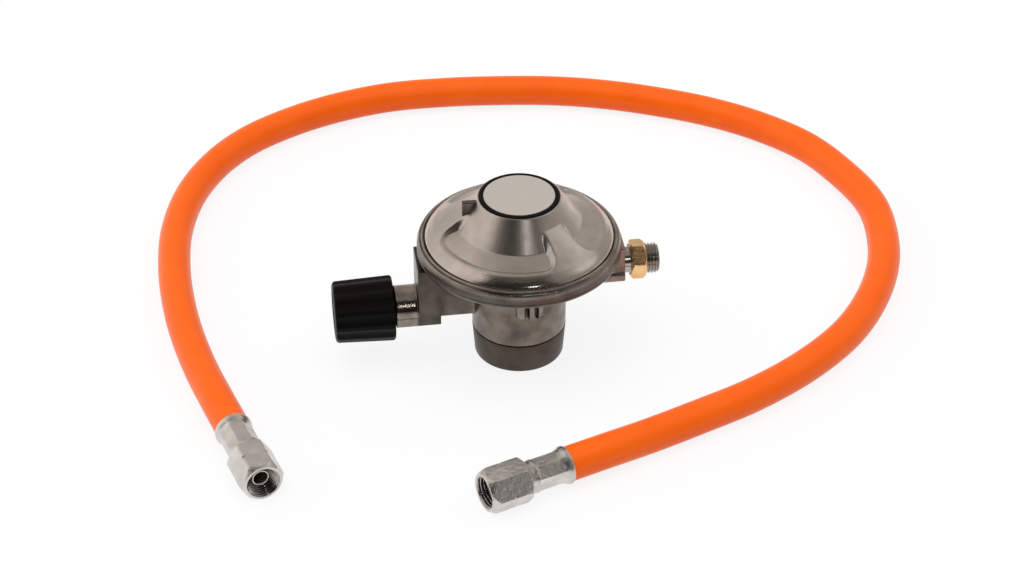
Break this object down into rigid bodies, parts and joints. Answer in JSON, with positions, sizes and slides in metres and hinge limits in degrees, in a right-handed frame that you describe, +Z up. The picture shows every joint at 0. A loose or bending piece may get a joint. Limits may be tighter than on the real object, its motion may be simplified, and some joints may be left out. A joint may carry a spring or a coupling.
{
  "type": "gas regulator with hose",
  "caption": "Clip-on low-pressure gas regulator with side knob, threaded outlet and a separate crimped orange hose with left-hand union nuts.",
  "frame": {"origin": "on the axis of the inlet socket, in the plane of the foot that the regulator stands on", "axes": "+Z up along the inlet axis, +X along the outlet, -X along the knob arm, +Y away from the loose hose ends"},
  "size_m": [0.3386, 0.3238, 0.0788],
  "materials": {
    "zinc_casting": "satin warm-grey zinc die casting, slightly mottled",
    "zinc_cover": "smooth bright zinc die casting with soft reflections",
    "dark_collar": "dark brown-grey satin metal with faint turning marks",
    "plated_steel": "zinc-plated steel, bright and slightly warm",
    "spring_steel": "drawn spring wire",
    "brass": "turned brass",
    "black_plastic": "black moulded plastic with a soft sheen",
    "seal_rubber": "black nitrile rubber",
    "label_grey": "pale satin metal disc, bare",
    "hose_orange": "smooth bright orange rubber, satin"
  },
  "bodies": {
    "regulator": {"body_casting": "zinc_casting", "socket_sleeve": "plated_steel", "collar_clip": "spring_steel", "collar_ring": "seal_rubber", "inlet_spigot": "brass", "passage_plug": "plated_steel", "jet": "brass", "lever_pin": "plated_steel", "cover": "zinc_cover", "diaphragm": "seal_rubber", "main_spring": "spring_steel", "adjusting_screw": "brass", "cap_ring": "black_plastic", "label_disc": "label_grey", "vent_cap": "zinc_casting", "plunger_spring": "spring_steel"},
    "collar": {"locking_collar": "dark_collar"},
    "ball_1": {"locking_ball_1": "plated_steel"},
    "ball_2": {"locking_ball_2": "plated_steel"},
    "ball_3": {"locking_ball_3": "plated_steel"},
    "knob_shaft": {"knob": "black_plastic", "knob_spindle": "plated_steel", "spindle_seal": "seal_rubber", "spindle_clip": "spring_steel"},
    "opener": {"plunger": "brass"},
    "diaphragm_stack": {"diaphragm_plate": "zinc_cover", "backing_washer": "plated_steel", "stem": "plated_steel"},
    "rocker": {"lever": "plated_steel", "seat_pad": "seal_rubber"},
    "lock_nut": {"outlet_lock_nut": "brass"},
    "hose": {"hose_tube": "hose_orange", "ferrule_left": "plated_steel", "ferrule_right": "plated_steel", "nipple_left": "plated_steel", "nipple_right": "plated_steel"},
    "nut_left": {"union_nut_left": "plated_steel"},
    "nut_right": {"union_nut_right": "plated_steel"}
  },
  "joints": [
    {"name": "collar_slide", "type": "slide", "parent": "regulator", "child": "collar", "axis": [0, 0, -1], "range_m": [0, 0.005]},
    {"name": "ball_1_slide", "type": "slide", "parent": "regulator", "child": "ball_1", "axis": [-0.866, -0.5, 0], "range_m": [0, 0.00101]},
    {"name": "ball_2_slide", "type": "slide", "parent": "regulator", "child": "ball_2", "axis": [0.866, -0.5, 0], "range_m": [0, 0.00101]},
    {"name": "ball_3_slide", "type": "slide", "parent": "regulator", "child": "ball_3", "axis": [0, 1, 0], "range_m": [0, 0.00101]},
    {"name": "knob_turn", "type": "hinge", "parent": "regulator", "child": "knob_shaft", "pos_m": [-0.0544, 0, 0.026], "axis": [1, 0, 0], "range_deg": [0, 90]},
    {"name": "opener_slide", "type": "slide", "parent": "regulator", "child": "opener", "axis": [0, 0, -1], "range_m": [0, 0.00251], "deforming": ["plunger_spring"]},
    {"name": "diaphragm_lift", "type": "slide", "parent": "regulator", "child": "diaphragm_stack", "axis": [0, 0, 1], "range_m": [0, 0.0015], "deforming": ["main_spring", "diaphragm"]},
    {"name": "lever_rock", "type": "hinge", "parent": "regulator", "child": "rocker", "pos_m": [0, 0.009, 0.04775], "axis": [1, 0, 0], "range_deg": [-9.6, 0]},
    {"name": "lock_nut_turn", "type": "hinge", "parent": "regulator", "child": "lock_nut", "pos_m": [0.0517, 0, 0.0412], "axis": [1, 0, 0], "range_deg": [0, 360]},
    {"name": "hose_lift", "type": "slide", "parent": "regulator", "child": "hose", "axis": [0, 0, 1], "range_m": [0, 0.15]},
    {"name": "nut_left_spin", "type": "hinge", "parent": "hose", "child": "nut_left", "pos_m": [-0.11803, -0.07964, 0.0085], "axis": [0.2756, -0.9613, 0], "continuous": true},
    {"name": "nut_right_spin", "type": "hinge", "parent": "hose", "child": "nut_right", "pos_m": [-0.02169, -0.10276, 0.0085], "axis": [-0.9397, -0.342, 0], "continuous": true}
  ],
  "couplings": [
    {"joint": "ball_1_slide", "follows": "collar_slide", "ratio": 0.2},
    {"joint": "ball_2_slide", "follows": "collar_slide", "ratio": 0.2},
    {"joint": "ball_3_slide", "follows": "collar_slide", "ratio": 0.2},
    {"joint": "opener_slide", "follows": "knob_turn", "m_per_rad": 0.0015915},
    {"joint": "lever_rock", "follows": "diaphragm_lift", "rad_per_m": -111.11}
  ]
}
